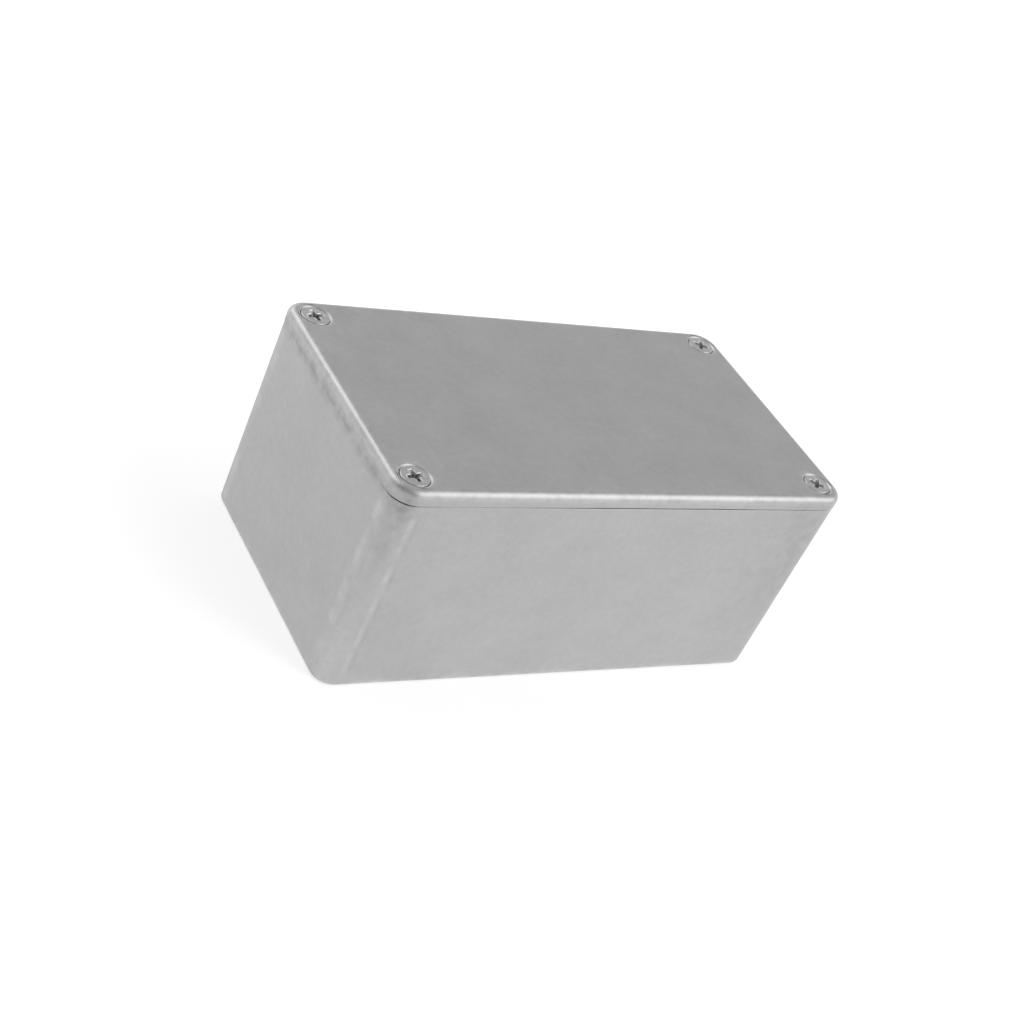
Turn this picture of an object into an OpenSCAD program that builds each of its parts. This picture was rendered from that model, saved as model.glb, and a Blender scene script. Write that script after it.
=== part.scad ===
// Die-cast electronics enclosure: a drafted box, a lid with a locating lip, and four countersunk lid screws.
// Millimetres, +Z up. The origin is the centre of the base, on the surface that the box stands on.
// X runs along the box and the front faces -Y.

/* [Box] */
// Overall length along X, measured at the lid
box_l = 112; // [90:1:160]
// Overall width along Y, measured at the lid
box_w = 61; // [50:1:100]
// Overall height with the lid on
box_h = 49.5; // [35:0.5:80]
// Radius of the lid's corners, seen from above
corner_r = 5; // [4:0.1:6]

/* [Casting] */
// Thickness of the side walls
wall = 2; // [1.5:0.1:2.4]
// Thickness of the floor
floor_t = 2.2; // [1.5:0.1:4]
// Lean of the walls for release from the die, in degrees a side
draft = 0.5; // [0.2:0.1:1]
// Radius round the outside of the base
base_edge_r = 1; // [0.5:0.1:2]
// Radius between the floor and the walls
floor_fillet_r = 1.5; // [0.5:0.1:1.6]
// Chamfer on the two edges that meet at the parting line
parting_chamfer = 0.2; // [0.1:0.05:0.5]

/* [Lid] */
// Height of the lid's rim, from the parting line to the top face
lid_rim_h = 3.2; // [3:0.1:6]
// Thickness of the lid's plate
lid_plate_t = 2.2; // [1.5:0.1:3]
// How far the lid stands out past the body all round
lid_overhang = 0.1; // [0.05:0.05:0.6]
// Radius round the lid's top edge
lid_edge_r = 1.6; // [0.8:0.1:2.4]
// How far the locating lip reaches down into the body
lip_h = 2; // [1:0.1:4]
// Thickness of the locating lip
lip_t = 1.6; // [1:0.1:2.5]
// Gap between the locating lip and the body
lip_clearance = 0.3; // [0.15:0.05:0.6]

/* [Corner bosses] */
// Distance from each screw's axis to the lid's two nearest edges
screw_inset = 5.4; // [5:0.1:6.5]
// Diameter of the boss round each screw hole
boss_d = 8.4; // [7.6:0.1:10]
// Radius that blends each boss into the walls
boss_blend_r = 1.5; // [0.8:0.1:2]
// How far each blend runs into the boss and the wall, so that it ends at a clear edge
blend_bite = 0.02; // [0.01:0.01:0.1]
// Depth of each screw hole past the screw's tip
hole_spare = 2; // [0.5:0.5:5]
// Point angle of the drill that makes the screw holes
drill_angle = 118; // [90:1:140]

/* [Screws] */
// Outside diameter of the screw's thread
screw_d = 3.5; // [2.5:0.1:4]
// Length of a screw from its head's top to its tip
screw_l = 16; // [10:0.5:25]
// Diameter of the countersunk head
head_d = 6.2; // [5.4:0.1:6.6]
// Angle across the cone of the head
head_angle = 90; // [80:1:100]
// Height of the straight edge above the head's cone
head_edge = 0.1; // [0.05:0.05:0.3]
// Depth of the head's top below the lid's top face
head_drop = 0.1; // [0.05:0.05:0.3]
// Gap between the head's cone and its countersink, measured across
head_clearance = 0.14; // [0.1:0.02:0.3]
// Width of the softened edge round each countersink, measured along the lid's top and along the cone
countersink_edge = 0.25; // [0.1:0.05:0.35]
// Gap between the shank and its hole in a boss
thread_clearance = 0.1; // [0.05:0.01:0.2]
// Gap between the thread and its hole in the lid
lid_hole_clearance = 0.2; // [0.1:0.05:0.4]
// Chamfer at the screw's tip
tip_chamfer = 0.5; // [0.2:0.1:0.8]
// Width across the cross recess at the head's top
cross_span = 3.5; // [2.5:0.1:4]
// Width across the cross recess at its bottom
cross_floor = 1.3; // [0.8:0.1:2]
// Thickness of each wing of the cross recess
cross_wing = 0.75; // [0.5:0.05:1]
// Depth of the cross recess
cross_depth = 1.6; // [1:0.1:2]
// Turn of the front left screw's recess, in degrees
turn_front_left = 11; // [0:1:89]
// Turn of the front right screw's recess, in degrees
turn_front_right = 49; // [0:1:89]
// Turn of the rear left screw's recess, in degrees
turn_rear_left = 9; // [0:1:89]
// Turn of the rear right screw's recess, in degrees
turn_rear_right = 60; // [0:1:89]

/* [Hidden] */
$fn = 96;

casting_colour = [0.72, 0.72, 0.73];
screw_colour = [0.66, 0.67, 0.68];

// Overlap that lets one solid cut or join another cleanly
cut = 1;
// Least radius that a fillet leaves of the corner it runs round
fillet_margin = 0.2;

// Height of the parting line, which is also the body's height
parting_z = box_h - lid_rim_h;
// Centres of the corner arcs, which the lid and the body share
corner_x = box_l / 2 - corner_r;
corner_y = box_w / 2 - corner_r;
corner_signs = [[1, 1], [-1, 1], [-1, -1], [1, -1]];

// Corner radii of the body's outside and of its inside at the parting line
body_r = corner_r - lid_overhang;
cavity_r = body_r - wall;
// Inside of the walls at the parting line
inner_x = corner_x + cavity_r;
inner_y = corner_y + cavity_r;

// Screw axes, and how far each lies from the inside of the walls beside it
screw_x = box_l / 2 - screw_inset;
screw_y = box_w / 2 - screw_inset;
boss_to_wall = screw_inset - lid_overhang - wall;
boss_r = boss_d / 2;
// Centre of the blend beside a boss, measured from the screw's axis towards the wall and along it
blend_out = boss_to_wall - boss_blend_r + blend_bite;
blend_along = sqrt(pow(boss_r + boss_blend_r - blend_bite, 2) - pow(blend_out, 2));

// Screw, head and hole sizes that follow from each other
head_r = head_d / 2;
head_slope = tan(head_angle / 2);
shank_r = screw_d / 2 - thread_clearance;
boss_hole_r = screw_d / 2;
lid_hole_r = screw_d / 2 + lid_hole_clearance;
countersink_r = head_r + (head_drop + head_edge) * head_slope + head_clearance;
// Softened edge of a countersink: where it starts on the cone, and its widening for each millimetre of rise
edge_foot_r = countersink_r - countersink_edge * sin(head_angle / 2);
edge_foot_z = box_h - countersink_edge * cos(head_angle / 2);
edge_widening = (countersink_r + countersink_edge - edge_foot_r) / (box_h - edge_foot_z);
head_top_z = box_h - head_drop;
boss_hole_z = head_top_z - screw_l - hole_spare;

// Radius at height z of a wall that leans out from radius r at the parting line
function leaning_r(r, z) = r - (parting_z - z) * tan(draft);

// Fillet between a leaning wall and a floor at height z, kept smaller than the corner it runs round
function fitted_fillet(r, z, fillet) = min(fillet, leaning_r(r, z) - fillet_margin);

// Quarter disc between +X and +Y
module quarter_disc(r) {
    intersection() {
        circle(r);
        square(r);
    }
}

// Edge profile of a leaning wall: x outward from the corner's centre line, y up, with a rounded lower edge
module leaning_profile(r, z_low, z_high, fillet) {
    f = fitted_fillet(r, z_low, fillet);
    x = leaning_r(r, z_low + f) - f;
    straight = z_high - z_low - f;
    translate([0, z_low])
        square([x, z_high - z_low]);
    translate([x, z_low + f]) {
        mirror([0, 1])
            quarter_disc(f);
        polygon([[0, 0], [f, 0], [leaning_r(r, z_high) - x, straight], [0, straight]]);
    }
}

// Block with rounded upright corners; children() is its edge profile, which runs all the way round
module rounded_block(z_low, z_high) {
    for (i = [0:3])
        translate([corner_signs[i].x * corner_x, corner_signs[i].y * corner_y, 0])
            rotate(90 * i)
                rotate_extrude(angle = 90)
                    children();
    for (turn = [0, 180])
        rotate(turn) {
            translate([-corner_x, corner_y, 0])
                rotate([90, 0, 90])
                    linear_extrude(2 * corner_x)
                        children();
            translate([corner_x, corner_y, 0])
                rotate([90, 0, 0])
                    linear_extrude(2 * corner_y)
                        children();
        }
    translate([-corner_x, -corner_y, z_low])
        cube([2 * corner_x, 2 * corner_y, z_high - z_low]);
}

// Repeats a shape that is drawn at one screw's axis, with the box's corner towards +X +Y, at all four
module at_screws() {
    for (signs = corner_signs)
        translate([signs.x * screw_x, signs.y * screw_y, 0])
            mirror([signs.x < 0 ? 1 : 0, 0, 0])
                mirror([0, signs.y < 0 ? 1 : 0, 0])
                    children();
}

// Blend between a boss and the wall that lies along +Y of it, grown outward by a gap
module boss_blend(gap) {
    difference() {
        polygon([
            [0, 0],
            [0, boss_to_wall + wall],
            [-blend_along, boss_to_wall + wall],
            [-blend_along, blend_out]
        ]);
        if (gap < boss_blend_r)
            translate([-blend_along, blend_out])
                circle(boss_blend_r - gap);
    }
}

// Outline of a boss and its blends into both walls, grown outward by a gap
module boss_outline(gap) {
    circle(boss_r + gap);
    square(boss_to_wall + wall);
    boss_blend(gap);
    mirror([1, -1, 0])
        boss_blend(gap);
}

// Outline of the box's mouth between the bosses, drawn in by a gap
module mouth_outline(gap) {
    difference() {
        square([2 * (inner_x - gap), 2 * (inner_y - gap)], center = true);
        at_screws()
            boss_outline(gap);
    }
}

// Space inside the body, with the corner bosses left standing
module cavity() {
    top = parting_z + cut;
    difference() {
        rounded_block(floor_t, top)
            leaning_profile(cavity_r, floor_t, top, floor_fillet_r);
        at_screws()
            linear_extrude(top + cut)
                boss_outline(0);
    }
}

// Tapped hole in a boss with its drill point, drawn at the thread's outside diameter
module boss_hole() {
    point = boss_hole_r / tan(drill_angle / 2);
    rotate_extrude()
        polygon([
            [0, boss_hole_z - point],
            [boss_hole_r, boss_hole_z],
            [boss_hole_r, parting_z + cut],
            [0, parting_z + cut]
        ]);
}

module enclosure_body() {
    color(casting_colour)
        difference() {
            rounded_block(0, parting_z)
                difference() {
                    leaning_profile(body_r, 0, parting_z, base_edge_r);
                    translate([body_r, parting_z])
                        rotate(45)
                            square(sqrt(2) * parting_chamfer, center = true);
                }
            cavity();
            at_screws()
                boss_hole();
        }
}

// Edge profile of the lid: rounded above and chamfered at the parting line
module lid_profile() {
    x = corner_r - lid_edge_r;
    z = box_h - lid_edge_r;
    translate([0, parting_z])
        square([x, lid_rim_h]);
    polygon([
        [x, parting_z],
        [corner_r - parting_chamfer, parting_z],
        [corner_r, parting_z + parting_chamfer],
        [corner_r, z],
        [x, z]
    ]);
    translate([x, z])
        quarter_disc(lid_edge_r);
}

// Clearance hole through the lid, with its countersink and the softened edge round that
module lid_hole() {
    depth = (countersink_r - lid_hole_r) / head_slope;
    rotate_extrude()
        polygon([
            [0, parting_z - cut],
            [lid_hole_r, parting_z - cut],
            [lid_hole_r, box_h - depth],
            [edge_foot_r, edge_foot_z],
            [countersink_r + countersink_edge + cut * edge_widening, box_h + cut],
            [0, box_h + cut]
        ]);
}

module lid() {
    color(casting_colour)
        difference() {
            union() {
                rounded_block(parting_z, box_h)
                    lid_profile();
                translate([0, 0, parting_z - lip_h])
                    linear_extrude(lip_h + cut)
                        mouth_outline(lip_clearance);
            }
            translate([0, 0, parting_z - lip_h - cut])
                linear_extrude(box_h - lid_plate_t - (parting_z - lip_h - cut))
                    mouth_outline(lip_clearance + lip_t);
            at_screws()
                lid_hole();
        }
}

// Cross recess, cut down from the head's top at z = 0
module cross_recess() {
    for (turn = [0, 90])
        rotate([90, 0, turn])
            linear_extrude(cross_wing, center = true)
                polygon([
                    [-cross_span / 2, cut],
                    [-cross_span / 2, 0],
                    [-cross_floor / 2, -cross_depth],
                    [cross_floor / 2, -cross_depth],
                    [cross_span / 2, 0],
                    [cross_span / 2, cut]
                ]);
}

// Countersunk screw in the corner that signs name, its recess turned by an angle
module lid_screw(signs, turn) {
    cone = (head_r - shank_r) / head_slope;
    color(screw_colour)
        translate([signs.x * screw_x, signs.y * screw_y, head_top_z])
            difference() {
                rotate_extrude()
                    polygon([
                        [0, 0],
                        [head_r, 0],
                        [head_r, -head_edge],
                        [shank_r, -head_edge - cone],
                        [shank_r, tip_chamfer - screw_l],
                        [shank_r - tip_chamfer, -screw_l],
                        [0, -screw_l]
                    ]);
                rotate(turn)
                    cross_recess();
            }
}

module screw_front_left() {
    lid_screw([-1, -1], turn_front_left);
}

module screw_front_right() {
    lid_screw([1, -1], turn_front_right);
}

module screw_rear_left() {
    lid_screw([-1, 1], turn_rear_left);
}

module screw_rear_right() {
    lid_screw([1, 1], turn_rear_right);
}

enclosure_body();
lid();
screw_front_left();
screw_front_right();
screw_rear_left();
screw_rear_right();
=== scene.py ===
"""Looks of a die-cast electronics enclosure: the box, its lid and the four lid screws.

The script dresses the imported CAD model. The classes hold their sizes in millimetres, and a
point becomes metres where its vertex is made. Only the studio and the camera are in metres.
The frame is the CAD's: +Z up, +X along the box, the front facing -Y, and the origin in the
middle of the base.
"""

import logging
import math
from collections.abc import Sequence
from dataclasses import dataclass
from enum import Enum

import bmesh
import bpy
from mathutils import Matrix, Vector, noise


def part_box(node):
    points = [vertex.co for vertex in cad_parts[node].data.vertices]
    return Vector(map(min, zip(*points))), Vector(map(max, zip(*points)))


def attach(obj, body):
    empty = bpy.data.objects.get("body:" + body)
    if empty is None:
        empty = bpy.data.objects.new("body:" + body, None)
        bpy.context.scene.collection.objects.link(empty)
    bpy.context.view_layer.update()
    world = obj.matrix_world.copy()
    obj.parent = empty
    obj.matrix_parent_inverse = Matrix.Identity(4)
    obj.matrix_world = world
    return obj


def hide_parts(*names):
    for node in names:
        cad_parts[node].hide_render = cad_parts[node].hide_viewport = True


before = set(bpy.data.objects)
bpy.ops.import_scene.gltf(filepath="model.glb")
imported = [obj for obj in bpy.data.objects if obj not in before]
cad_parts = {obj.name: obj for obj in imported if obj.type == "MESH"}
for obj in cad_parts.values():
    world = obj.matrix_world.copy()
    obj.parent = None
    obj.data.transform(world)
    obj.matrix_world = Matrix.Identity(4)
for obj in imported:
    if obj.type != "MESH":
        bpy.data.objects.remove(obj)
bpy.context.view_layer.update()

log = logging.getLogger("enclosure")

MM = 0.001
WHITE = (1.0, 1.0, 1.0, 1.0)
# Numbers of a mix node's colour sockets, whose names aren't unique
MIX_FIRST = 6
MIX_SECOND = 7
MIX_RESULT = 2
# Angle between two faces above which their edge is shaded sharp
SHARP_DEG = 40.0
# Rays that an ambient occlusion node sends out
OCCLUSION_RAYS = 8
# Angle that the rings of a wave texture run through in one unit of length
WAVE_RADIANS = 20.0
# Cosine and sine of each quarter turn
QUARTER_TURNS = ((1, 0), (0, 1), (-1, 0), (0, -1))
# Ranges that a value is moved to or from
RISING = (0.0, 1.0)
FALLING = (1.0, 0.0)

Point = tuple[float, float]
Triple = tuple[float, float, float]
Outline = list[Point]
Level = tuple[Outline, float]
Colour = tuple[float, float, float, float]
Loop = list[bmesh.types.BMVert]
Socket = bpy.types.NodeSocket
Material = bpy.types.Material
Piece = bpy.types.Object


def arc(centre: Point, radius: float, start: float, end: float, steps: int) -> Outline:
    """Points along an arc, both ends included.

    Args:
        centre: Centre of the arc.
        radius: Radius of the arc.
        start: Angle of the first point, in degrees.
        end: Angle of the last point, in degrees.
        steps: Number of straight steps along the arc.

    Returns:
        The points in order.
    """
    turns = [math.radians(start + (end - start) * i / steps) for i in range(steps + 1)]
    return [(centre[0] + radius * math.cos(t), centre[1] + radius * math.sin(t)) for t in turns]


def circle(radius: float, steps: int, centre: Point = (0.0, 0.0)) -> Outline:
    """Points once round a circle, the first not repeated."""
    return arc(centre, radius, 0.0, 360.0, steps)[:-1]


def direction(azimuth: float, elevation: float) -> Vector:
    """Direction from the object to a lamp or a camera.

    Args:
        azimuth: Angle from the front, counter-clockwise seen from above, in degrees.
        elevation: Angle above level, in degrees.

    Returns:
        A vector of length 1.
    """
    turn, rise = math.radians(azimuth), math.radians(elevation)
    level = math.cos(rise)
    return Vector((math.sin(turn) * level, -math.cos(turn) * level, math.sin(rise)))


class ClosedMesh:
    """A watertight mesh that grows from loops of points."""

    def __init__(self) -> None:
        """Starts an empty mesh."""
        self.bm = bmesh.new()

    def ring(self, outline: Outline, height: float) -> Loop:
        """Adds a level loop of points, given in millimetres."""
        return [self.bm.verts.new((x * MM, y * MM, height * MM)) for x, y in outline]

    def loft(self, loops: Sequence[Loop]) -> None:
        """Joins each loop to the next with a band of quads.

        Args:
            loops: Loops with the same number of points.
        """
        for near, far in zip(loops, loops[1:]):
            for i in range(len(near)):
                self.bm.faces.new((near[i - 1], near[i], far[i], far[i - 1]))

    def cap(self, *loops: Loop) -> None:
        """Fills the flat region between an outer loop and the loops inside it.

        Args:
            loops: The outer loop and any inner ones, all at one height.
        """
        edges = []
        for loop in loops:
            for i, vertex in enumerate(loop):
                pair = (loop[i - 1], vertex)
                edges.append(self.bm.edges.get(pair) or self.bm.edges.new(pair))
        bmesh.ops.triangle_fill(self.bm, use_beauty=True, use_dissolve=False, edges=edges)

    def sink(self, levels: Sequence[Level]) -> Loop:
        """Makes a pit that is closed at its last outline.

        Args:
            levels: Each outline with its height, from the rim down.

        Returns:
            The rim, for the face round it.
        """
        loops = [self.ring(outline, height) for outline, height in levels]
        self.loft(loops)
        self.cap(loops[-1])
        return loops[0]

    def finish(self, name: str, material: Material) -> Piece:
        """Turns the mesh into a smooth-shaded object in the scene and dresses it.

        Args:
            name: Name of the object and its mesh.
            material: Material that it has all over.

        Returns:
            The new object.
        """
        bmesh.ops.recalc_face_normals(self.bm, faces=self.bm.faces[:])
        mesh = bpy.data.meshes.new(name)
        self.bm.to_mesh(mesh)
        self.bm.free()
        mesh.shade_smooth()
        mesh.set_sharp_from_angle(angle=math.radians(SHARP_DEG))
        mesh.materials.append(material)
        made = bpy.data.objects.new(name, mesh)
        bpy.context.scene.collection.objects.link(made)
        return made


class NodeSheet:
    """The node tree of one material or world, filled node by node."""

    def __init__(self, tree: bpy.types.NodeTree, source: str) -> None:
        """Empties the tree and gives it coordinates.

        Args:
            tree: The node tree to fill.
            source: Texture coordinate that is read: a piece's own, or a world's direction.
        """
        self.tree = tree
        self.tree.nodes.clear()
        self.coords = self.add("ShaderNodeTexCoord").outputs[source]
        self.axes = self.add("ShaderNodeSeparateXYZ", {0: self.coords}).outputs

    def add(
        self, kind: str, inputs: dict[str | int, object] | None = None, **settings: object
    ) -> bpy.types.Node:
        """Adds one node.

        Args:
            kind: Blender's name for the type of node.
            inputs: What goes into its sockets, by name or number: an output or a constant.
            settings: Properties of the node itself.

        Returns:
            The new node.
        """
        made = self.tree.nodes.new(kind)
        for name, value in settings.items():
            setattr(made, name, value)
        for name, value in (inputs or {}).items():
            if isinstance(value, Socket):
                self.tree.links.new(value, made.inputs[name])
            else:
                made.inputs[name].default_value = value
        return made

    def noise(self, vector: Socket, size: float, detail: float) -> Socket:
        """Noise around 0.5, with patches of a size in millimetres and finer layers on them."""
        inputs = {"Vector": vector, "Scale": 1.0 / (size * MM), "Detail": detail}
        return self.add("ShaderNodeTexNoise", inputs).outputs["Fac"]

    def stretched(self, scale: Triple) -> Socket:
        """The coordinates scaled along each axis."""
        inputs = {"Vector": self.coords, "Scale": scale}
        return self.add("ShaderNodeMapping", inputs).outputs["Vector"]

    def remap(self, value: Socket, old: Point, new: Point) -> Socket:
        """A value moved from an old range to a new one and held inside it."""
        inputs = {"Value": value, 1: old[0], 2: old[1], 3: new[0], 4: new[1]}
        return self.add("ShaderNodeMapRange", inputs, clamp=True).outputs["Result"]

    def math(self, operation: str, first: Socket | float, *others: Socket | float) -> Socket:
        """One operation run through a row of values, from the first to the last.

        Args:
            operation: Blender's name for the operation.
            first: The first value.
            others: The values after it.

        Returns:
            The result.
        """
        result = first
        for value in others:
            made = self.add("ShaderNodeMath", {0: result, 1: value}, operation=operation)
            result = made.outputs["Value"]
        return result

    def vector(self, operation: str, output: str, *vectors: Socket | Sequence[float]) -> Socket:
        """The named output of one operation on vectors."""
        made = self.add("ShaderNodeVectorMath", dict(enumerate(vectors)), operation=operation)
        return made.outputs[output]

    def mix(self, share: Socket, first: Socket | Colour, second: Socket | Colour) -> Socket:
        """A blend of two colours, by the share of the second."""
        inputs = {0: share, MIX_FIRST: first, MIX_SECOND: second}
        return self.add("ShaderNodeMix", inputs, data_type="RGBA").outputs[MIX_RESULT]

    def bumps(self, *layers: tuple[Socket, float]) -> Socket:
        """A normal tilted by one height after another.

        Args:
            layers: Heights between 0 and 1, each with the depth of a height of 1 in millimetres.

        Returns:
            The tilted normal.
        """
        inputs: dict[str, object] = {"Strength": 1.0}
        for height, depth in layers:
            inputs.update({"Height": height, "Distance": depth * MM})
            inputs["Normal"] = self.add("ShaderNodeBump", inputs).outputs["Normal"]
        return inputs["Normal"]

    def near(self, value: Socket, level: float, reach: float) -> Socket:
        """How close a coordinate comes to a level on either side of the middle.

        Args:
            value: The coordinate, in metres.
            level: The level, in millimetres.
            reach: Distance at which the closeness has faded out, in millimetres.

        Returns:
            A value from 1 at the level to 0.
        """
        size = self.math("ABSOLUTE", value, 0.0)
        away = self.math("ABSOLUTE", self.math("SUBTRACT", size, level * MM), 0.0)
        return self.remap(away, (0.0, reach * MM), FALLING)

    def spot(self, centre: Triple, reach: Triple) -> Socket:
        """How close a place lies to the middle of a soft spot.

        Args:
            centre: Middle of the spot, in millimetres.
            reach: Half the size of the spot along each axis, in millimetres.

        Returns:
            A value from 1 in the middle to 0 outside the spot.
        """
        middle = [value * MM for value in centre]
        scale = [1.0 / (value * MM) for value in reach]
        away = self.vector("SUBTRACT", "Vector", self.coords, middle)
        share = self.vector("MULTIPLY", "Vector", away, scale)
        return self.remap(self.vector("LENGTH", "Value", share), RISING, FALLING)

    def openness(self, reach: float, **settings: bool) -> Socket:
        """How free the surface is of faces within a reach, from 0 for closed in to 1 for free."""
        kind, inputs = "ShaderNodeAmbientOcclusion", {"Distance": reach * MM}
        return self.add(kind, inputs, samples=OCCLUSION_RAYS, **settings).outputs["AO"]

    def edges(self, reach: float) -> Socket:
        """How much metal lies behind the surface, from 0 on a sharp edge to 1 on a flat."""
        return self.openness(reach, inside=True, only_local=True)

    def metal(self, colour: Socket, roughness: Socket, normal: Socket) -> None:
        """Ends the sheet of a material in bare metal.

        Args:
            colour: Colour of the metal.
            roughness: How dull it is, from 0 to 1.
            normal: Its normal, tilted by its unevenness.
        """
        inputs = {"Base Color": colour, "Metallic": 1.0, "Roughness": roughness, "Normal": normal}
        shader = self.add("ShaderNodeBsdfPrincipled", inputs)
        self.add("ShaderNodeOutputMaterial", {"Surface": shader.outputs["BSDF"]})


def new_material(name: str) -> tuple[Material, NodeSheet]:
    """An empty node material.

    Args:
        name: Name of the material.

    Returns:
        The material and its sheet of nodes.
    """
    made = bpy.data.materials.new(name)
    made.use_nodes = True
    return made, NodeSheet(made.node_tree, "Object")


class ScrewCorner(Enum):
    """The corners that hold a screw: signs of X and Y, and the turn of the screw's recess."""

    FRONT_LEFT = (-1, -1, 11.0)
    FRONT_RIGHT = (1, -1, 49.0)
    REAR_LEFT = (-1, 1, 9.0)
    REAR_RIGHT = (1, 1, 60.0)

    @property
    def turn_deg(self) -> float:
        """Turn of the screw's recess."""
        return self.value[2]

    @property
    def node(self) -> str:
        """Name of the screw's CAD node."""
        return f"screw_{self.name.lower()}"

    @property
    def body(self) -> str:
        """Name of the screw's moving body."""
        return f"{self.name.lower()}_screw"


@dataclass(frozen=True)
class BoxForm:
    """Sizes and outlines that the box and its lid share, in millimetres."""

    half_length: float
    half_width: float
    parting_z: float
    screw_x: float
    screw_y: float
    lid_r: float = 5.0
    body_r: float = 4.9
    draft_deg: float = 0.5
    boss_to_wall: float = 3.3
    boss_r: float = 4.2
    blend_r: float = 1.5
    least_blend_r: float = 0.35
    corner_steps: int = 10
    blend_steps: int = 6
    boss_steps: int = 16
    wall_pitch: float = 3.5
    # Distance from an edge to the extra points that keep the face beside it flat
    hold: float = 0.12

    @classmethod
    def from_frame(cls) -> "BoxForm":
        """The form with its main sizes read from the CAD's boxes.

        Returns:
            The form.
        """
        lid_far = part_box("lid")[1] / MM
        body_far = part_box("enclosure_body")[1] / MM
        near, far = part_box(ScrewCorner.REAR_RIGHT.node)
        axis = (near + far) / (2.0 * MM)
        return cls(lid_far.x, lid_far.y, body_far.z, axis.x, axis.y)

    @property
    def corner_x(self) -> float:
        """Distance of the corners' centres from the middle, along the box."""
        return self.half_length - self.lid_r

    @property
    def corner_y(self) -> float:
        """Distance of the corners' centres from the middle, across the box."""
        return self.half_width - self.lid_r

    def lean(self, height: float) -> float:
        """How far a wall has leaned in at a height below the parting line."""
        return (self.parting_z - height) * math.tan(math.radians(self.draft_deg))

    def wall_reach(self, start: Point, end: Point) -> float:
        """Length that sets a wall's number of points, the same at every level."""
        along_x = abs(end[0] - start[0]) > abs(end[1] - start[1])
        return 2.0 * (self.corner_x if along_x else self.corner_y)

    def wall_points(self, start: Point, end: Point) -> Outline:
        """Points along a straight wall, with one close to each end to keep the wall flat.

        Args:
            start: Where the wall starts, which isn't repeated.
            end: Where the wall ends, which isn't repeated.

        Returns:
            The points between.
        """
        steps = round(self.wall_reach(start, end) / self.wall_pitch)
        inset = self.hold / math.dist(start, end)
        shares = [inset, *(i / steps for i in range(1, steps)), 1.0 - inset]
        return [tuple(a + (b - a) * s for a, b in zip(start, end)) for s in shares]

    def all_round(self, corner: Outline) -> Outline:
        """A closed outline from one corner.

        Args:
            corner: Points of the corner at +X +Y, from its X wall to its Y wall.

        Returns:
            The outline counter-clockwise, with the walls between the corners.
        """
        runs = [
            corner,
            [(-x, y) for x, y in reversed(corner)],
            [(-x, -y) for x, y in corner],
            [(x, -y) for x, y in reversed(corner)],
        ]
        outline: Outline = []
        for run, following in zip(runs, runs[1:] + runs[:1]):
            outline += run + self.wall_points(run[-1], following[0])
        return outline

    def outside(self, radius: float) -> Outline:
        """Rounded rectangle with a corner radius, about the shared corner centres."""
        centre = (self.corner_x, self.corner_y)
        return self.all_round(arc(centre, radius, 0.0, 90.0, self.corner_steps))

    def mouth(self, gap: float, lean: float = 0.0) -> Outline:
        """Outline of the inside, which runs round the corner bosses.

        Args:
            gap: How far it is drawn in from the walls and the bosses.
            lean: How far the walls alone are drawn in.

        Returns:
            The outline counter-clockwise.
        """
        blend = max(self.blend_r - gap, self.least_blend_r)
        boss = self.boss_r + gap
        out = self.boss_to_wall - gap - lean - blend
        along = math.sqrt((boss + blend) ** 2 - out**2)
        meet = math.degrees(math.atan2(along, out))
        corner = arc((out, -along), blend, 0.0, 180.0 - meet, self.blend_steps)
        corner += arc((0.0, 0.0), boss, -meet, meet - 270.0, self.boss_steps)[1:-1]
        corner += arc((-along, out), blend, meet - 90.0, 90.0, self.blend_steps)
        return self.all_round([(x + self.screw_x, y + self.screw_y) for x, y in corner])

    def at_screw(self, corner: ScrewCorner, outline: Outline) -> Outline:
        """An outline that is drawn about the origin, moved to a screw's axis."""
        sign_x, sign_y = corner.value[:2]
        return [(x + sign_x * self.screw_x, y + sign_y * self.screw_y) for x, y in outline]


@dataclass(frozen=True)
class ShadeSpot:
    """A soft patch of painted shade on a casting, with its least and most share of shade."""

    centre_mm: Triple
    reach_mm: Triple
    share: Point


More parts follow.
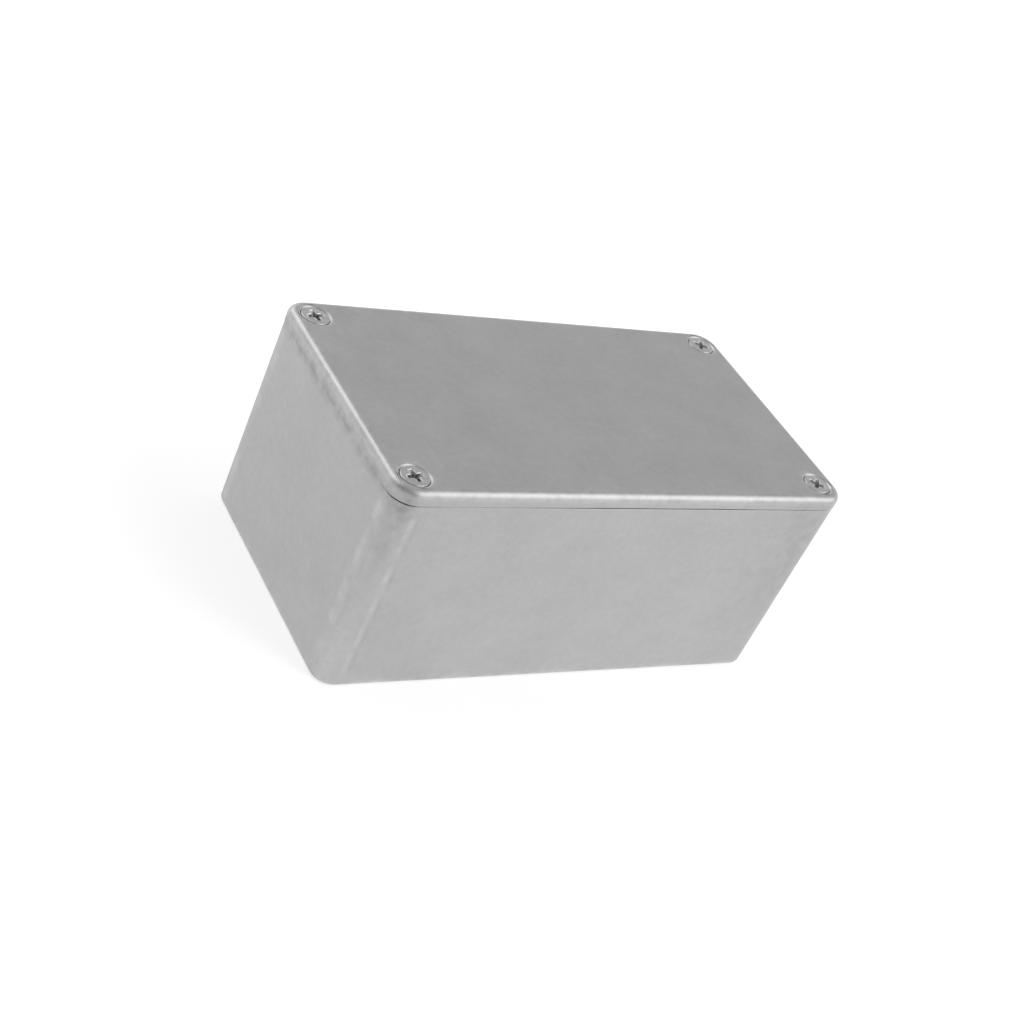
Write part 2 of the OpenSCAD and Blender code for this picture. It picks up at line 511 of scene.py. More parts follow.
@dataclass(frozen=True)
class CastingFinish:
    """Bare die-cast aluminium, satin from the die, lightly handled, with painted shade and
    highlights.
    """

    form: BoxForm
    name: str = "cast_aluminium"
    dark: Colour = (0.426, 0.426, 0.428, 1.0)
    light: Colour = (0.524, 0.523, 0.524, 1.0)
    wear_and_highlight: Colour = (0.64, 0.64, 0.64, 1.0)
    hollow_shade: Colour = (0.07, 0.07, 0.07, 1.0)
    painted_shade: Colour = (0.30, 0.30, 0.302, 1.0)
    roughness: Point = (0.44, 0.52)

    # Patches of tone from wide to fine, the ranges read from their noise, and their shares
    cloud_mm: float = 24.0
    mottle_mm: float = 6.0
    mottle_stretch: Triple = (0.7, 0.7, 1.2)
    blotch_mm: float = 1.6
    grain_mm: float = 0.45
    patch_range: Point = (0.75, 1.25)
    noise_range: Point = (0.3, 0.7)
    patch_tone: Point = (0.0, 0.36)
    blotch_tone: Point = (0.0, 0.36)
    grain_tone: Point = (0.0, 0.28)

    # Unevenness that only tilts the normal
    wave_depth_mm: float = 0.007
    blotch_depth_mm: float = 0.022
    grain_depth_mm: float = 0.004
    knock_share: Point = (0.4, 1.0)

    # Edges lightened by rubbed wear and painted sheen, except those at the joint
    wear_sheen_reach_mm: float = 1.5
    wear_sheen_range: Point = (0.82, 0.97)
    wear_sheen_patches: Point = (0.8, 1.2)
    wear_sheen_share: Point = (0.0, 0.9)
    joint_reach_mm: float = 1.6
    joint_guard: float = 4.0

    # Painted highlight lines where the walls meet the corners, and a painted shade line beside
    # each: on the end walls, on the side walls
    line_half_mm: Point = (1.7, 0.9)
    shadow_half_mm: Point = (0.6, 0.6)
    shadow_shift_mm: Point = (2.1, -1.3)
    shadow: float = 0.55
    wall_reach_mm: float = 2.0

    # Height at which the lines fade out, their share from left to right, and their breaks
    line_top: Point = (0.90, 0.99)
    line_ends: Point = (1.0, 0.15)
    line_stretch: Triple = (0.1, 0.1, 0.42)
    line_breaks: Point = (0.38, 0.68)
    line_share: Point = (0.06, 0.76)

    # Painted shade along the joint at both ends, and spots of painted shade: at the box's
    # front-left corner and joint, a dark reflection on the lid's corner above, and the right end
    # of the front wall
    joint_shade_reach_mm: float = 2.2
    end_reach_mm: float = 3.0
    shade_patch_mm: float = 2.4
    shade_patches: Point = (0.38, 0.62)
    joint_shade_share: Point = (0.08, 0.72)
    shade_spots: tuple[ShadeSpot, ...] = (
        ShadeSpot((-54.0, -28.8, 40.0), (5.0, 5.0, 16.0), (0.08, 0.38)),
        ShadeSpot((-53.6, -29.2, 44.6), (4.0, 4.0, 4.2), (0.25, 0.90)),
        ShadeSpot((-53.2, -30.2, 47.2), (3.0, 3.0, 2.4), (0.12, 0.90)),
        ShadeSpot((50.0, -30.4, 34.0), (20.0, 4.5, 40.0), (0.20, 0.44)),
    )

    # Painted shade in hollows, other than at both ends
    hollow_shade_reach_mm: float = 0.5
    hollow_shade_range: Point = (0.1, 0.5)
    hollow_shade_share: Point = (0.9, 0.0)
    end_fade_range: Point = (0.3, 0.9)

    def painted_corner_lines(self, sheet: NodeSheet, shift: Point, half: Point) -> Socket:
        """Broken upright lines at the box's corners, for painted highlights and shade beside them.

        Args:
            sheet: The material's nodes.
            shift: How far the lines on the end walls and on the side walls lie outward of the
                corner's start, in millimetres.
            half: Half the width of the lines on the end walls and on the side walls.

        Returns:
            How strongly a line shows, from 0 to 1.
        """
        axes, walls = sheet.axes, self.form
        on_ends = sheet.math(
            "MULTIPLY",
            sheet.near(axes["X"], walls.corner_x + walls.body_r, self.wall_reach_mm),
            sheet.near(axes["Y"], walls.corner_y + shift[0], half[0]),
        )
        on_sides = sheet.math(
            "MULTIPLY",
            sheet.near(axes["Y"], walls.corner_y + walls.body_r, self.wall_reach_mm),
            sheet.near(axes["X"], walls.corner_x + shift[1], half[1]),
        )
        top = tuple(share * walls.parting_z * MM for share in self.line_top)
        length = (-walls.half_length * MM, walls.half_length * MM)
        streak = sheet.noise(sheet.stretched(self.line_stretch), self.blotch_mm, detail=4.0)
        return sheet.math(
            "MULTIPLY",
            sheet.math("MAXIMUM", on_ends, on_sides),
            sheet.remap(axes["Z"], top, FALLING),
            sheet.remap(axes["X"], length, self.line_ends),
            sheet.remap(streak, self.line_breaks, self.line_share),
        )

    def at_ends(self, sheet: NodeSheet) -> Socket:
        """How close a place lies to an end of the lid, from 0 to 1."""
        return sheet.near(sheet.axes["X"], self.form.half_length, self.end_reach_mm)

    def at_joint(self, sheet: NodeSheet, reach: float) -> Socket:
        """How close a place lies to the joint, from 0 at a reach to 1."""
        return sheet.near(sheet.axes["Z"], self.form.parting_z, reach)

    def painted_shades(self, sheet: NodeSheet) -> Socket:
        """Painted shade: along the joint at both ends, at the shade spots and beside corner lines.

        Args:
            sheet: The material's nodes.

        Returns:
            How strongly the painted shade shows, from 0 to 1.
        """
        patches = sheet.noise(sheet.coords, self.shade_patch_mm, detail=3.0)
        # Painted shade lines beside the painted corner highlights
        shadows = self.painted_corner_lines(sheet, self.shadow_shift_mm, self.shadow_half_mm)
        # Painted shade along the joint at both ends
        joint = self.at_joint(sheet, self.joint_shade_reach_mm)
        patchy = sheet.remap(patches, self.shade_patches, self.joint_shade_share)
        marks = [
            sheet.math("MULTIPLY", shadows, self.shadow),
            sheet.math("MULTIPLY", joint, self.at_ends(sheet), patchy),
        ]
        # Spots of painted shade, one of them a dark reflection on the lid's front-left corner
        for shade_spot in self.shade_spots:
            spot = sheet.spot(shade_spot.centre_mm, shade_spot.reach_mm)
            patchy = sheet.remap(patches, self.shade_patches, shade_spot.share)
            marks.append(sheet.math("MULTIPLY", spot, patchy))
        return sheet.math("MAXIMUM", *marks)

    def build(self) -> Material:
        """Makes the material.

        Returns:
            The finished material.
        """
        made, sheet = new_material(self.name)
        cloud = sheet.noise(sheet.coords, self.cloud_mm, detail=2.0)
        mottle = sheet.noise(sheet.stretched(self.mottle_stretch), self.mottle_mm, detail=4.0)
        blotch = sheet.noise(sheet.coords, self.blotch_mm, detail=3.0)
        grain = sheet.noise(sheet.coords, self.grain_mm, detail=2.0)
        patches = sheet.math("ADD", cloud, mottle)

        tone = sheet.math(
            "ADD",
            sheet.remap(patches, self.patch_range, self.patch_tone),
            sheet.remap(blotch, self.noise_range, self.blotch_tone),
            sheet.remap(grain, self.noise_range, self.grain_tone),
        )
        # Edges lightened: rubbed wear and painted sheen on the edge highlights
        edges = sheet.remap(sheet.edges(self.wear_sheen_reach_mm), self.wear_sheen_range, FALLING)
        joint = sheet.math("MULTIPLY", self.at_joint(sheet, self.joint_reach_mm), self.joint_guard)
        bare = sheet.math("SUBTRACT", edges, joint)
        patchy = sheet.remap(sheet.math("ADD", blotch, mottle), self.wear_sheen_patches, self.wear_sheen_share)
        # Painted highlights along the corners' tangent lines
        corner_highlights = self.painted_corner_lines(sheet, (0.0, 0.0), self.line_half_mm)
        wear_and_highlight_share = sheet.math("MAXIMUM", sheet.math("MULTIPLY", bare, patchy), corner_highlights)
        # Painted shade in hollows such as the joint and the screw holes, fading out at both ends
        hollow_shading = sheet.math(
            "MULTIPLY",
            sheet.remap(sheet.openness(self.hollow_shade_reach_mm), self.hollow_shade_range, self.hollow_shade_share),
            sheet.remap(self.at_ends(sheet), self.end_fade_range, FALLING),
        )
        colour = sheet.mix(tone, self.dark, self.light)
        # The tone, then painted shade, then rubbed wear with painted highlights, then painted
        # shade in hollows
        colour = sheet.mix(self.painted_shades(sheet), colour, self.painted_shade)
        colour = sheet.mix(wear_and_highlight_share, colour, self.wear_and_highlight)
        colour = sheet.mix(hollow_shading, colour, self.hollow_shade)

        knocks = sheet.math("MULTIPLY", blotch, sheet.remap(bare, RISING, self.knock_share))
        normal = sheet.bumps(
            (patches, self.wave_depth_mm),
            (knocks, self.blotch_depth_mm),
            (grain, self.grain_depth_mm),
        )
        sheet.metal(colour, sheet.remap(tone, RISING, self.roughness), normal)
        return made


@dataclass(frozen=True)
class ScrewFinish:
    """Plated steel with faint marks from turning and driving, painted shade and highlights."""

    name: str = "plated_steel"
    dark: Colour = (0.45, 0.45, 0.455, 1.0)
    light: Colour = (0.58, 0.58, 0.585, 1.0)
    wear_and_highlight: Colour = (0.82, 0.82, 0.82, 1.0)
    hollow_shade: Colour = (0.27, 0.27, 0.27, 1.0)
    roughness: Point = (0.30, 0.42)
    mottle_mm: float = 0.7
    noise_range: Point = (0.3, 0.7)
    turning_mm: float = 0.754
    turning_sway: float = 0.4
    turning_depth_mm: float = 0.004
    hollow_shade_reach_mm: float = 1.4
    hollow_shade_range: Point = (0.4, 0.92)
    hollow_shade_share: Point = (0.85, 0.0)
    wear_sheen_reach_mm: float = 0.22
    wear_sheen_range: Point = (0.6, 0.96)
    wear_sheen_share: Point = (0.9, 0.0)

    def build(self) -> Material:
        """Makes the material.

        Returns:
            The finished material.
        """
        made, sheet = new_material(self.name)
        scale = math.tau / (WAVE_RADIANS * self.turning_mm * MM)
        rings = sheet.add(
            "ShaderNodeTexWave",
            {"Vector": sheet.coords, "Scale": scale, "Distortion": self.turning_sway},
            wave_type="RINGS",
            rings_direction="Z",
        ).outputs["Fac"]

        mottle = sheet.noise(sheet.coords, self.mottle_mm, detail=4.0)
        tone = sheet.remap(mottle, self.noise_range, RISING)
        # Painted shade in the recess and where the head sits in its countersink
        openness = sheet.openness(self.hollow_shade_reach_mm)
        hollow_shading = sheet.remap(openness, self.hollow_shade_range, self.hollow_shade_share)
        # Edges lightened: wear and painted highlights on the burr and the head's rim
        wear_and_highlight_share = sheet.remap(sheet.edges(self.wear_sheen_reach_mm), self.wear_sheen_range, self.wear_sheen_share)
        colour = sheet.mix(tone, self.dark, self.light)
        colour = sheet.mix(hollow_shading, colour, self.hollow_shade)
        colour = sheet.mix(wear_and_highlight_share, colour, self.wear_and_highlight)
        normal = sheet.bumps((rings, self.turning_depth_mm))
        sheet.metal(colour, sheet.remap(tone, RISING, self.roughness), normal)
        return made


@dataclass(frozen=True)
class Thread:
    """A right-hand thread as levels of points round its axis, in millimetres."""

    root_r: float
    crest_r: float
    top: float
    bottom: float
    pitch: float = 0.6
    flat_share: float = 0.1
    rings_a_turn: int = 9
    steps: int = 36

    def flank(self, phase: float) -> float:
        """Height of the thread's flank, from 0 at its root to 1 at its crest, once a turn."""
        rise = 1.0 - abs(2.0 * (phase % 1.0) - 1.0)
        return min(1.0, max(0.0, (rise - self.flat_share) / (1.0 - 2.0 * self.flat_share)))

    def levels(self) -> list[Level]:
        """The thread's outlines from the top down, faded out over a pitch at both ends.

        Returns:
            Each outline with its height.
        """
        count = round((self.top - self.bottom) / self.pitch * self.rings_a_turn)
        made = []
        for i in range(count + 1):
            height = self.top + (self.bottom - self.top) * i / count
            fade = min(1.0, min(self.top - height, height - self.bottom) / self.pitch)
            outline = []
            for share in (k / self.steps for k in range(self.steps)):
                lift = self.flank(height / self.pitch - share) * fade
                radius = self.root_r + (self.crest_r - self.root_r) * lift
                turn = math.tau * share
                outline.append((radius * math.cos(turn), radius * math.sin(turn)))
            made.append((outline, height))
        return made


@dataclass
class EnclosureBody:
    """The cast box: leaning walls, a floor and four tapped corner bosses."""

    form: BoxForm
    name: str = "box_casting"
    node: str = "enclosure_body"
    body: str = "box"
    floor_z: float = 2.2
    base_edge_r: float = 1.0
    floor_fillet_r: float = 1.5
    rim_edge_r: float = 0.16
    mouth_edge_r: float = 0.3
    outer_heights: tuple[float, ...] = (8.0, 16.0, 24.0, 32.0, 40.0)
    inner_heights: tuple[float, ...] = (35.0, 25.0, 15.0)
    base_steps: int = 8
    fillet_steps: int = 6
    edge_steps: int = 4
    hole_r: float = 1.75
    thread_root_r: float = 2.0
    hole_chamfer: float = 0.35
    hole_z: float = 31.4
    drill_angle_deg: float = 118.0
    drill_tip_r: float = 0.15
    drill_tip_rise: float = 0.1
    ejector_r: float = 2.6
    ejector_depth: float = 0.12
    ejector_taper: float = 0.05
    ejector_hold: float = 0.1
    ejector_steps: int = 40
    ejector_x: float = 30.0
    ejector_y: float = 15.0

    def outer_levels(self) -> list[Point]:
        """Levels of the outside, from the base up.

        Returns:
            Corner radius and height of each level.
        """
        form, base, rim = self.form, self.base_edge_r, self.rim_edge_r
        flat = form.body_r - form.lean(base) - base
        below = form.parting_z - rim
        heights = (base + form.hold, *self.outer_heights, below - form.hold)
        return [
            (flat - form.hold, 0.0),
            *arc((flat, base), base, -90.0, 0.0, self.base_steps),
            *((form.body_r - form.lean(height), height) for height in heights),
            *arc((form.body_r - rim, below), rim, 0.0, 90.0, self.edge_steps),
            (form.body_r - rim - form.hold, form.parting_z),
        ]

    def inner_levels(self) -> list[Triple]:
        """Levels of the inside, from the rim down.

        Returns:
            Gap, lean and height of each level.
        """
        form, edge, fillet = self.form, self.mouth_edge_r, self.floor_fillet_r
        rim, start = form.parting_z - edge, self.floor_z + fillet
        mouth = arc((-edge, rim), edge, 90.0, 0.0, self.edge_steps)
        heights = (rim - form.hold, *self.inner_heights, start + form.hold)
        foot = arc((fillet, start), fillet, 180.0, 270.0, self.fillet_steps)
        lean = form.lean(start)
        return [
            (-edge - form.hold, 0.0, form.parting_z),
            *((gap, 0.0, height) for gap, height in mouth),
            *((0.0, form.lean(height), height) for height in heights),
            *((gap, lean, height) for gap, height in foot),
            (fillet + form.hold, lean, self.floor_z),
        ]

    def bore(self, mesh: ClosedMesh) -> list[Loop]:
        """Makes the four tapped holes.

        Args:
            mesh: The mesh that they go into.

        Returns:
            The holes' rims, for the face round them.
        """
        form, top = self.form, self.form.parting_z
        thread = Thread(self.thread_root_r, self.hole_r, top - self.hole_chamfer, self.hole_z)
        wide = self.thread_root_r + self.hole_chamfer
        point = self.hole_z - self.hole_r / math.tan(math.radians(self.drill_angle_deg / 2.0))
        levels = [(circle(radius, thread.steps), top) for radius in (wide + form.hold, wide)]
        levels += thread.levels()
        levels.append((circle(self.drill_tip_r, thread.steps), point + self.drill_tip_rise))
        rims = []
        for corner in ScrewCorner:
            rims.append(mesh.sink([(form.at_screw(corner, outline), z) for outline, z in levels]))
        return rims

    def ejector_marks(self, mesh: ClosedMesh) -> list[Loop]:
        """Makes the shallow round marks that ejector pins leave in the floor.

        Args:
            mesh: The mesh that they go into.

        Returns:
            The marks' rims, for the face round them.
        """
        low = self.floor_z - self.ejector_depth
        foot_r = self.ejector_r - self.ejector_taper
        profile = (
            (self.ejector_r + self.ejector_hold, self.floor_z),
            (self.ejector_r, self.floor_z),
            (foot_r, low),
            (foot_r - self.ejector_hold, low),
        )
        rims = []
        for x in (-self.ejector_x, 0.0, self.ejector_x):
            for y in (-self.ejector_y, self.ejector_y):
                levels = [(circle(r, self.ejector_steps, (x, y)), z) for r, z in profile]
                rims.append(mesh.sink(levels))
        return rims

    def build(self, material: Material) -> Piece:
        """Makes the box as one closed mesh and dresses it.

        Args:
            material: The casting's material.

        Returns:
            The box.
        """
        mesh = ClosedMesh()
        outer = [mesh.ring(self.form.outside(r), z) for r, z in self.outer_levels()]
        inner = [mesh.ring(self.form.mouth(gap, lean), z) for gap, lean, z in self.inner_levels()]
        mesh.loft(outer)
        mesh.loft(inner)
        mesh.cap(outer[0])
        mesh.cap(outer[-1], inner[0], *self.bore(mesh))
        mesh.cap(inner[-1], *self.ejector_marks(mesh))
        return mesh.finish(self.name, material)


@dataclass
class Lid:
    """The cast lid: a rounded plate with countersunk holes and a lip that locates it."""

    form: BoxForm
    name: str = "lid_casting"
    node: str = "lid"
    body: str = "cover"
    top_z: float = 49.5
    plate_t: float = 2.2
    edge_r: float = 1.6
    rim_edge_r: float = 0.12
    lip_h: float = 2.0
    lip_t: float = 1.6
    lip_gap: float = 0.3
    lip_edge_r: float = 0.25
    ceiling_fillet_r: float = 0.8
    edge_steps: int = 12
    small_edge_steps: int = 4
    fillet_steps: int = 5
    hole_r: float = 1.95
    hole_steps: int = 56
    hole_foot_chamfer: float = 0.2
    hole_foot_rise: float = 0.3
    countersink_r: float = 3.44
    countersink_deg: float = 45.0
    countersink_edge_r: float = 0.6
    countersink_edge_steps: int = 6
    seat_hold: float = 0.15
    seat_drop: float = 0.08
    slit: float = 0.11
    slit_change: float = 0.04
    slit_waves_a_mm: float = 0.06
    # X, Y, reach and added gap of each place where the lid stands off by more or by less
    loose_spots: tuple[tuple[float, float, float, float], ...] = (
        (-54.6, -29.0, 4.0, 0.16),
        (10.0, -30.5, 34.0, 0.165),
        (56.0, -8.0, 12.0, 0.06),
        (-18.0, 30.5, 16.0, 0.06),
        (-56.0, 14.0, 18.0, -0.20),
        (-56.0, -12.0, 13.0, -0.20),
    )

    def outer_levels(self) -> list[Point]:
        """Levels of the outside, from the parting line up.

        Returns:
            Corner radius and height of each level.
        """
        form, rim, edge = self.form, self.rim_edge_r, self.edge_r
        low, high = form.parting_z + rim, self.top_z - edge
        return [
            (form.lid_r - rim - form.hold, form.parting_z),
            *arc((form.lid_r - rim, low), rim, -90.0, 0.0, self.small_edge_steps),
            (form.lid_r, low + form.hold),
            (form.lid_r, high - form.hold),
            *arc((form.lid_r - edge, high), edge, 0.0, 90.0, self.edge_steps),
            (form.lid_r - edge - form.hold, self.top_z),
        ]

    def lip_levels(self) -> list[Point]:
        """Levels of the lip, from its outside to the ceiling within.

        Returns:
            Gap and height of each level.
        """
        form, edge, fillet = self.form, self.lip_edge_r, self.ceiling_fillet_r
        root, ceiling = form.parting_z, self.top_z - self.plate_t
        low, high = root - self.lip_h + edge, ceiling - fillet
        near, far = self.lip_gap, self.lip_gap + self.lip_t
        return [
            (near - form.hold, root),
            (near, root),
            (near, root - form.hold),
            (near, low + form.hold),
            *arc((near + edge, low), edge, 180.0, 270.0, self.small_edge_steps),
            *arc((far - edge, low), edge, 270.0, 360.0, self.small_edge_steps),
            (far, low + form.hold),
            (far, high - form.hold),
            *arc((far + fillet, high), fillet, 180.0, 90.0, self.fillet_steps),
            (far + fillet + form.hold, ceiling),
        ]

    def hole_levels(self) -> list[Point]:
        """Levels of a countersunk hole, from the top face down to the parting line.

        Returns:
            Radius and height of each level.
        """
        form, edge, slope = self.form, self.countersink_edge_r, self.countersink_deg
        start = self.countersink_r + edge * math.tan(math.radians(slope / 2.0))
        drop = (self.countersink_r - self.hole_r) * math.tan(math.radians(slope))
        seat_z = self.top_z - drop
        foot_r = self.hole_r + self.hole_foot_chamfer
        centre = (start, self.top_z - edge)
        return [
            (start + form.hold, self.top_z),
            *arc(centre, edge, 90.0, 90.0 + slope, self.countersink_edge_steps),
            (self.hole_r + self.seat_hold, seat_z + self.seat_hold),
            (self.hole_r, seat_z - self.seat_drop),
            (self.hole_r, form.parting_z + self.hole_foot_rise),
            (foot_r, form.parting_z),
            (foot_r + form.hold, form.parting_z),
        ]

    def holes(self, mesh: ClosedMesh) -> tuple[list[Loop], list[Loop]]:
        """Makes the four countersunk holes.

        Args:
            mesh: The mesh that they go into.

        Returns:
            Their rims in the top face, and their rims in the face at the parting line.
        """
        levels = [(circle(radius, self.hole_steps), z) for radius, z in self.hole_levels()]
        tops, feet = [], []
        for corner in ScrewCorner:
            loops = [mesh.ring(self.form.at_screw(corner, outline), z) for outline, z in levels]
            mesh.loft(loops)
            tops.append(loops[0])
            feet.append(loops[-1])
        return tops, feet

    def gap_at(self, x: float, y: float) -> float:
        """How far the lid stands off the box at one place.

        Args:
            x: Place along the box, in millimetres.
            y: Place across the box, in millimetres.

        Returns:
            The gap, in millimetres.
        """
        wave = noise.noise(Vector((x, y, 0.0)) * self.slit_waves_a_mm)
        gap = self.slit + self.slit_change * wave
        for spot_x, spot_y, reach, more in self.loose_spots:
            away = math.dist((x, y), (spot_x, spot_y)) / reach
            gap += more * math.exp(-away * away)
        return max(0.0, gap)

    def part_from_box(self, mesh: ClosedMesh) -> None:
        """Lifts the face at the parting line and its rim a hair, unevenly, as castings meet.

        Args:
            mesh: The finished mesh.
        """
        play = self.form.hold / 2.0
        top = self.rim_edge_r + self.form.hold + play
        for vertex in mesh.bm.verts:
            x, y, z = vertex.co / MM
            if -play < z - self.form.parting_z < top:
                vertex.co.z += self.gap_at(x, y) * MM

    def build(self, material: Material) -> Piece:
        """Makes the lid as one closed mesh and dresses it.

        Args:
            material: The casting's material.

        Returns:
            The lid.
        """
        mesh = ClosedMesh()
        outer = [mesh.ring(self.form.outside(r), z) for r, z in self.outer_levels()]
        lip = [mesh.ring(self.form.mouth(gap), z) for gap, z in self.lip_levels()]
        tops, feet = self.holes(mesh)
        mesh.loft(outer)
        mesh.loft(lip)
        mesh.cap(outer[-1], *tops)
        mesh.cap(outer[0], lip[0], *feet)
        mesh.cap(lip[-1])
        self.part_from_box(mesh)
        return mesh.finish(self.name, material)


@dataclass
class LidScrew:
    """A countersunk lid screw with a cross recess, drawn down from its head's top."""

    corner: ScrewCorner
    head_r: float = 3.02
    head_edge_r: float = 0.18
    head_edge_steps: int = 6
    head_hold: float = 0.06
    cone_deg: float = 45.0
    neck_r: float = 1.45
    neck_blend: float = 0.1
    thread_root_r: float = 1.34
    thread_r: float = 1.65
    thread_top: float = -2.0
    thread_end: float = -15.4
    length: float = 16.0
    tip_taper: float = 0.25
    tip_edge: float = 0.05
    recess_reach: float = 1.75
    recess_floor_reach: float = 0.65
    recess_depth: float = 1.6
    recess_shares: Triple = (0.35, 0.7, 1.0)
    wing_half: float = 0.46
    wing_floor_half: float = 0.30
    wing_tip_share: float = 0.6
    wing_tip_steps: int = 3
    wing_corner_r: float = 0.40
    wing_corner_share: float = 0.6
    wing_corner_steps: int = 5
    burr: float = 0.10
    # Distance from the recess and height of each level of the burr, as shares of its size
    burr_profile: tuple[Point, ...] = (
        (3.2, 0.0), (2.4, 0.1), (1.6, 0.6), (0.9, 0.7), (0.3, 0.2), (0.0, -1.0)
    )

    def cross(self, reach: float, half: float) -> Outline:
        """Outline of the cross recess at one depth.

        Args:
            reach: Distance from the axis to the end of a wing.
            half: Half the thickness of a wing.

        Returns:
            The outline counter-clockwise.
        """
        corner_r = min(self.wing_corner_r, self.wing_corner_share * (reach - half))
        tip = min(self.wing_tip_share * half, (reach - half - corner_r) / 2.0)
        inner = half + corner_r
        quarter = arc((reach - tip, half - tip), tip, 0.0, 90.0, self.wing_tip_steps)
        quarter += arc((inner, inner), corner_r, 270.0, 180.0, self.wing_corner_steps)
        quarter += arc((half - tip, reach - tip), tip, 0.0, 90.0, self.wing_tip_steps)
        outline: Outline = []
        for cos, sin in QUARTER_TURNS:
            outline += [(x * cos - y * sin, x * sin + y * cos) for x, y in quarter]
        return outline

    def recess(self, mesh: ClosedMesh) -> Loop:
        """Makes the cross recess and the burr round it.

        Args:
            mesh: The mesh that it goes into.

        Returns:
            Its rim in the head's top.
        """
        levels = []
        for away, lift in self.burr_profile:
            wider = away * self.burr
            outline = self.cross(self.recess_reach + wider, self.wing_half + wider)
            levels.append((outline, lift * self.burr))
        for share in self.recess_shares:
            reach = self.recess_reach + (self.recess_floor_reach - self.recess_reach) * share
            half = self.wing_half + (self.wing_floor_half - self.wing_half) * share
            levels.append((self.cross(reach, half), -self.recess_depth * share))
        return mesh.sink(levels)

    def shank_levels(self) -> list[Level]:
        """Outlines of the head's edge, its cone, the thread and the tip.

        Returns:
            Each outline with its height, from the head's top down.
        """
        thread = Thread(self.thread_root_r, self.thread_r, self.thread_top, self.thread_end)
        edge, blend = self.head_edge_r, self.neck_blend
        inset = self.head_r - edge
        rounding = arc((inset, -edge), edge, 90.0, -self.cone_deg, self.head_edge_steps)
        cone_r, cone_z = rounding[-1]
        cone_end = cone_z - (cone_r - self.neck_r) / math.tan(math.radians(self.cone_deg))
        head = [
            (inset - self.head_hold, 0.0),
            *rounding,
            (self.neck_r + blend, cone_end + blend),
            (self.neck_r, cone_end - blend),
        ]
        tip_r = self.thread_root_r - self.tip_taper
        tip = [(tip_r, self.tip_edge - self.length), (tip_r - self.tip_edge, -self.length)]
        return [
            *((circle(radius, thread.steps), z) for radius, z in head),
            *thread.levels(),
            *((circle(radius, thread.steps), z) for radius, z in tip),
        ]

    def build(self, material: Material) -> Piece:
        """Makes the screw as one closed mesh, dresses it and sets it where its CAD node is.

        Args:
            material: The screw's material.

        Returns:
            The screw.
        """
        mesh = ClosedMesh()
        rim = self.recess(mesh)
        turn = Matrix.Rotation(math.radians(self.corner.turn_deg), 3, "Z")
        bmesh.ops.rotate(mesh.bm, verts=mesh.bm.verts[:], matrix=turn)
        loops = [mesh.ring(outline, z) for outline, z in self.shank_levels()]
        mesh.loft(loops)
        mesh.cap(loops[0], rim)
        mesh.cap(loops[-1])
        made = mesh.finish(f"lid_{self.corner.node}", material)
        low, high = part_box(self.corner.node)
        made.location = ((low.x + high.x) / 2.0, (low.y + high.y) / 2.0, high.z)
        return made


@dataclass(frozen=True)
class SoftBox:
    """A rectangular studio lamp that faces the object."""

    name: str
    azimuth_deg: float
    elevation_deg: float
    distance: float
    width: float
    height: float
    power: float

    def build(self, target: Vector) -> None:
        """Hangs the lamp.

        Args:
            target: Point that it faces, in metres.
        """
        data = bpy.data.lights.new(self.name, "AREA")
        data.shape = "RECTANGLE"
        data.size = self.width
        data.size_y = self.height
        data.energy = self.power
        lamp = bpy.data.objects.new(self.name, data)
        away = direction(self.azimuth_deg, self.elevation_deg)
        lamp.location = target + away * self.distance
        lamp.rotation_euler = away.to_track_quat("Z", "Y").to_euler()
        bpy.context.scene.collection.objects.link(lamp)


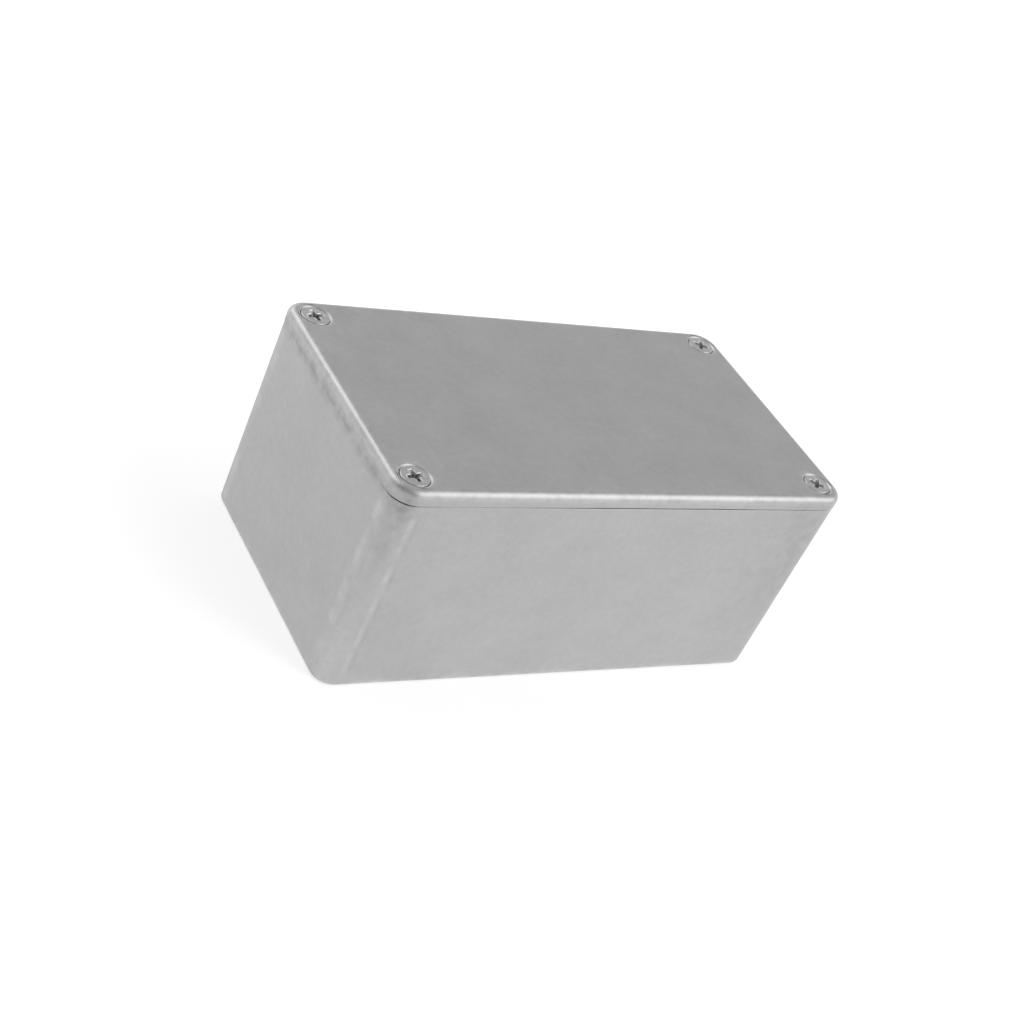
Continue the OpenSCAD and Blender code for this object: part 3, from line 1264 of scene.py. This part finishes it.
@dataclass
class Studio:
    """A white floor under a pale dome that is darker where the photographer stands."""

    target: Triple = (0.0, 0.0, 0.02)
    lamps: tuple[SoftBox, ...] = (
        SoftBox("right_lamp", 50.0, 43.0, 2.4, 1.76, 2.00, 22.8),
        SoftBox("back_lamp", 198.0, 43.0, 2.4, 1.20, 1.60, 13.0),
    )

    # The floor: how bright it shows from the object outward, and as the box's walls mirror it
    floor_half: float = 4.0
    floor_white: Colour = (0.60, 0.60, 0.60, 1.0)
    floor_lift: Point = (0.60, 0.72)
    lift_reach: Point = (0.25, 0.9)
    front_reach: Point = (-0.09, -0.04)
    front_glow: Point = (0.90, 1.13)
    left_reach: Point = (-0.085, -0.05)
    left_glow: Point = (0.78, 1.0)

    # The dome: how bright it is at the horizon, above it, and on the photographer's side
    horizon: float = 1.0
    upper: float = 0.515
    shaded: float = 0.256
    climb_range: Point = (0.2, 0.62)
    shade_side: Triple = (-0.57, -0.62, 0.54)
    shade_range: Point = (0.25, 0.9)

    def floor_finish(self) -> Material:
        """Makes the floor's material, white to the camera and to reflections.

        Returns:
            The finished material, on which the object's shadow still shows.
        """
        made, sheet = new_material("floor_white")
        path = sheet.add("ShaderNodeLightPath").outputs
        mirrored = sheet.math(
            "MULTIPLY",
            path["Is Glossy Ray"],
            sheet.remap(sheet.axes["Y"], self.front_reach, self.front_glow),
            sheet.remap(sheet.axes["X"], self.left_reach, self.left_glow),
        )
        seen = sheet.math("MAXIMUM", path["Is Camera Ray"], path["Is Transmission Ray"], mirrored)
        away = sheet.vector("LENGTH", "Value", sheet.coords)
        level = sheet.remap(away, self.lift_reach, self.floor_lift)
        strength = sheet.math("MULTIPLY", seen, level)
        lift = sheet.add("ShaderNodeEmission", {"Color": WHITE, "Strength": strength})
        diffuse = sheet.add("ShaderNodeBsdfDiffuse", {"Color": self.floor_white})
        both = sheet.add("ShaderNodeAddShader", {0: diffuse.outputs[0], 1: lift.outputs[0]})
        sheet.add("ShaderNodeOutputMaterial", {"Surface": both.outputs[0]})
        return made

    def floor(self) -> None:
        """Lays the floor."""
        mesh = bpy.data.meshes.new("floor")
        signs = ((-1, -1), (1, -1), (1, 1), (-1, 1))
        corners = [(x * self.floor_half, y * self.floor_half, 0.0) for x, y in signs]
        mesh.from_pydata(corners, [], [(0, 1, 2, 3)])
        mesh.materials.append(self.floor_finish())
        made = bpy.data.objects.new("floor", mesh)
        bpy.context.scene.collection.objects.link(made)

    def dome(self) -> None:
        """Lights the scene from a dome, white at the horizon and greyer above."""
        world = bpy.data.worlds.new("studio")
        bpy.context.scene.world = world
        world.use_nodes = True
        sheet = NodeSheet(world.node_tree, "Generated")
        facing = sheet.vector("DOT_PRODUCT", "Value", sheet.coords, self.shade_side)
        above = sheet.remap(facing, self.shade_range, (self.upper, self.shaded))
        climb = sheet.remap(sheet.axes["Z"], self.climb_range, RISING)
        drop = sheet.math("MULTIPLY", climb, sheet.math("SUBTRACT", self.horizon, above))
        strength = sheet.math("SUBTRACT", self.horizon, drop)
        shader = sheet.add("ShaderNodeBackground", {"Color": WHITE, "Strength": strength})
        sheet.add("ShaderNodeOutputWorld", {"Surface": shader.outputs[0]})

    def build(self) -> None:
        """Sets up the whole studio."""
        bpy.context.scene.view_settings.view_transform = "Standard"
        self.floor()
        self.dome()
        for lamp in self.lamps:
            lamp.build(Vector(self.target))


@dataclass(frozen=True)
class PhotoCamera:
    """The camera at the photograph's viewing angle, tilted as the photograph is."""

    azimuth_deg: float = -42.35
    elevation_deg: float = 32.127
    roll_deg: float = 26.263
    distance: float = 0.3854
    lens_mm: float = 63.16
    sensor_mm: float = 36.0
    clip: Point = (0.01, 50.0)
    aim: Triple = (-0.00315, -0.0009, 0.02031)

    def build(self) -> None:
        """Sets up the scene's camera."""
        data = bpy.data.cameras.new("photo_camera")
        data.sensor_width = self.sensor_mm
        data.lens = self.lens_mm
        data.clip_start, data.clip_end = self.clip
        made = bpy.data.objects.new("photo_camera", data)
        back = direction(self.azimuth_deg, self.elevation_deg)
        made.location = Vector(self.aim) + back * self.distance
        level = (-back).to_track_quat("-Z", "Y")
        roll = Matrix.Rotation(math.radians(self.roll_deg), 3, "Z").to_quaternion()
        made.rotation_mode = "QUATERNION"
        made.rotation_quaternion = level @ roll
        bpy.context.scene.collection.objects.link(made)
        bpy.context.scene.camera = made


@dataclass
class Enclosure:
    """The whole object: its two castings and its four screws."""

    form: BoxForm

    def place(self, piece: Piece, body: str, node: str) -> None:
        """Puts a piece on its body in place of its CAD node.

        Args:
            piece: The new piece.
            body: Body that it rides on.
            node: CAD node that it stands for.
        """
        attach(piece, body)
        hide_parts(node)
        log.info("%s rides on %s, %d faces", piece.name, body, len(piece.data.polygons))

    def build(self) -> None:
        """Makes and places every piece."""
        cast = CastingFinish(self.form).build()
        plated = ScrewFinish().build()
        for part in (EnclosureBody(self.form), Lid(self.form)):
            self.place(part.build(cast), part.body, part.node)
        for corner in ScrewCorner:
            self.place(LidScrew(corner).build(plated), corner.body, corner.node)


def main() -> None:
    """Builds the enclosure, the studio and the camera."""
    logging.basicConfig(level=logging.INFO, format="%(message)s")
    Enclosure(BoxForm.from_frame()).build()
    Studio().build()
    PhotoCamera().build()


if __name__ == "__main__":
    main()
